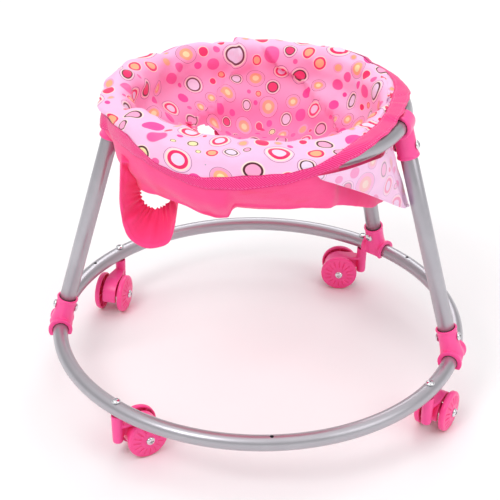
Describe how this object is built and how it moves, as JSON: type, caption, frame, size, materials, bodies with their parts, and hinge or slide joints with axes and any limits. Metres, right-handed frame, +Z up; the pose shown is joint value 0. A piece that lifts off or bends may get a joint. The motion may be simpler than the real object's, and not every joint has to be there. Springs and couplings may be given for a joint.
{
  "type": "doll baby walker",
  "caption": "Round doll-size baby walker: two silver tube rings on leaning legs, a hung printed cloth seat with leg openings, and swivelling twin-wheel casters.",
  "frame": {"origin": "on the floor, under the common axis of the two rings", "axes": "+Z up, +X to the right and +Y to the back of the walker; the rings' axis is Z"},
  "size_m": [0.3393, 0.3348, 0.249],
  "materials": {
    "silver_tube": "satin silver-grey paint",
    "pink_plastic": "glossy moulded",
    "wheel_plastic": "glossy moulded with ribs",
    "screw_steel": "bright zinc plated",
    "band_twill": "hot pink twill binding",
    "printed_cloth": "thin woven cloth printed with circles",
    "pink_cloth": "thin plain woven cloth"
  },
  "bodies": {
    "frame": {"base_ring": "silver_tube", "top_ring": "silver_tube", "leg_left": "silver_tube", "lower_connector_left": "pink_plastic", "upper_connector_left": "pink_plastic", "leg_right": "silver_tube", "lower_connector_right": "pink_plastic", "upper_connector_right": "pink_plastic", "leg_rear": "silver_tube", "lower_connector_rear": "pink_plastic", "upper_connector_rear": "pink_plastic", "lower_left_screw_outer": "screw_steel", "lower_left_screw_inner": "screw_steel", "lower_right_screw_outer": "screw_steel", "lower_right_screw_inner": "screw_steel", "lower_rear_screw_outer": "screw_steel", "lower_rear_screw_inner": "screw_steel", "upper_left_screw_outer": "screw_steel", "upper_left_screw_inner": "screw_steel", "upper_right_screw_outer": "screw_steel", "upper_right_screw_inner": "screw_steel", "upper_rear_screw_outer": "screw_steel", "upper_rear_screw_inner": "screw_steel", "seat_band": "band_twill", "seat_liner": "printed_cloth", "seat_shell": "pink_cloth", "side_flap": "printed_cloth", "leg_cuff_front": "pink_cloth", "leg_cuff_rear": "pink_cloth"},
    "caster_front_left": {"caster_body_front_left": "pink_plastic", "caster_screw_front_left": "screw_steel", "wheel_screw_front_left_left": "screw_steel", "wheel_screw_front_left_right": "screw_steel"},
    "wheel_front_left_left": {"wheel_front_left_left": "wheel_plastic"},
    "wheel_front_left_right": {"wheel_front_left_right": "wheel_plastic"},
    "caster_front_right": {"caster_body_front_right": "pink_plastic", "caster_screw_front_right": "screw_steel", "wheel_screw_front_right_left": "screw_steel", "wheel_screw_front_right_right": "screw_steel"},
    "wheel_front_right_left": {"wheel_front_right_left": "wheel_plastic"},
    "wheel_front_right_right": {"wheel_front_right_right": "wheel_plastic"},
    "caster_rear_left": {"caster_body_rear_left": "pink_plastic", "caster_screw_rear_left": "screw_steel", "wheel_screw_rear_left_left": "screw_steel", "wheel_screw_rear_left_right": "screw_steel"},
    "wheel_rear_left_left": {"wheel_rear_left_left": "wheel_plastic"},
    "wheel_rear_left_right": {"wheel_rear_left_right": "wheel_plastic"},
    "caster_rear_right": {"caster_body_rear_right": "pink_plastic", "caster_screw_rear_right": "screw_steel", "wheel_screw_rear_right_left": "screw_steel", "wheel_screw_rear_right_right": "screw_steel"},
    "wheel_rear_right_left": {"wheel_rear_right_left": "wheel_plastic"},
    "wheel_rear_right_right": {"wheel_rear_right_right": "wheel_plastic"}
  },
  "joints": [
    {"name": "swivel_front_left", "type": "hinge", "parent": "frame", "child": "caster_front_left", "pos_m": [-0.105, -0.12337, 0.045], "axis": [0, 0, 1], "continuous": true},
    {"name": "spin_front_left_left", "type": "hinge", "parent": "caster_front_left", "child": "wheel_front_left_left", "pos_m": [-0.08785, -0.11307, 0.0163], "axis": [-0.515, 0.8572, 0], "continuous": true},
    {"name": "spin_front_left_right", "type": "hinge", "parent": "caster_front_left", "child": "wheel_front_left_right", "pos_m": [-0.08785, -0.11307, 0.0163], "axis": [-0.515, 0.8572, 0], "continuous": true},
    {"name": "swivel_front_right", "type": "hinge", "parent": "frame", "child": "caster_front_right", "pos_m": [0.13039, -0.09613, 0.045], "axis": [0, 0, 1], "continuous": true},
    {"name": "spin_front_right_left", "type": "hinge", "parent": "caster_front_right", "child": "wheel_front_right_left", "pos_m": [0.14069, -0.07899, 0.0163], "axis": [-0.8572, 0.515, 0], "continuous": true},
    {"name": "spin_front_right_right", "type": "hinge", "parent": "caster_front_right", "child": "wheel_front_right_right", "pos_m": [0.14069, -0.07899, 0.0163], "axis": [-0.8572, 0.515, 0], "continuous": true},
    {"name": "swivel_rear_left", "type": "hinge", "parent": "frame", "child": "caster_rear_left", "pos_m": [-0.12428, 0.10391, 0.045], "axis": [0, 0, 1], "continuous": true},
    {"name": "spin_rear_left_left", "type": "hinge", "parent": "caster_rear_left", "child": "wheel_rear_left_left", "pos_m": [-0.12912, 0.08451, 0.0163], "axis": [0.9703, -0.2419, 0], "continuous": true},
    {"name": "spin_rear_left_right", "type": "hinge", "parent": "caster_rear_left", "child": "wheel_rear_left_right", "pos_m": [-0.12912, 0.08451, 0.0163], "axis": [0.9703, -0.2419, 0], "continuous": true},
    {"name": "swivel_rear_right", "type": "hinge", "parent": "frame", "child": "caster_rear_right", "pos_m": [0.09591, 0.13056, 0.045], "axis": [0, 0, 1], "continuous": true},
    {"name": "spin_rear_right_left", "type": "hinge", "parent": "caster_rear_right", "child": "wheel_rear_right_left", "pos_m": [0.07598, 0.1323, 0.0163], "axis": [-0.0872, -0.9962, 0], "continuous": true},
    {"name": "spin_rear_right_right", "type": "hinge", "parent": "caster_rear_right", "child": "wheel_rear_right_right", "pos_m": [0.07598, 0.1323, 0.0163], "axis": [-0.0872, -0.9962, 0], "continuous": true}
  ]
}
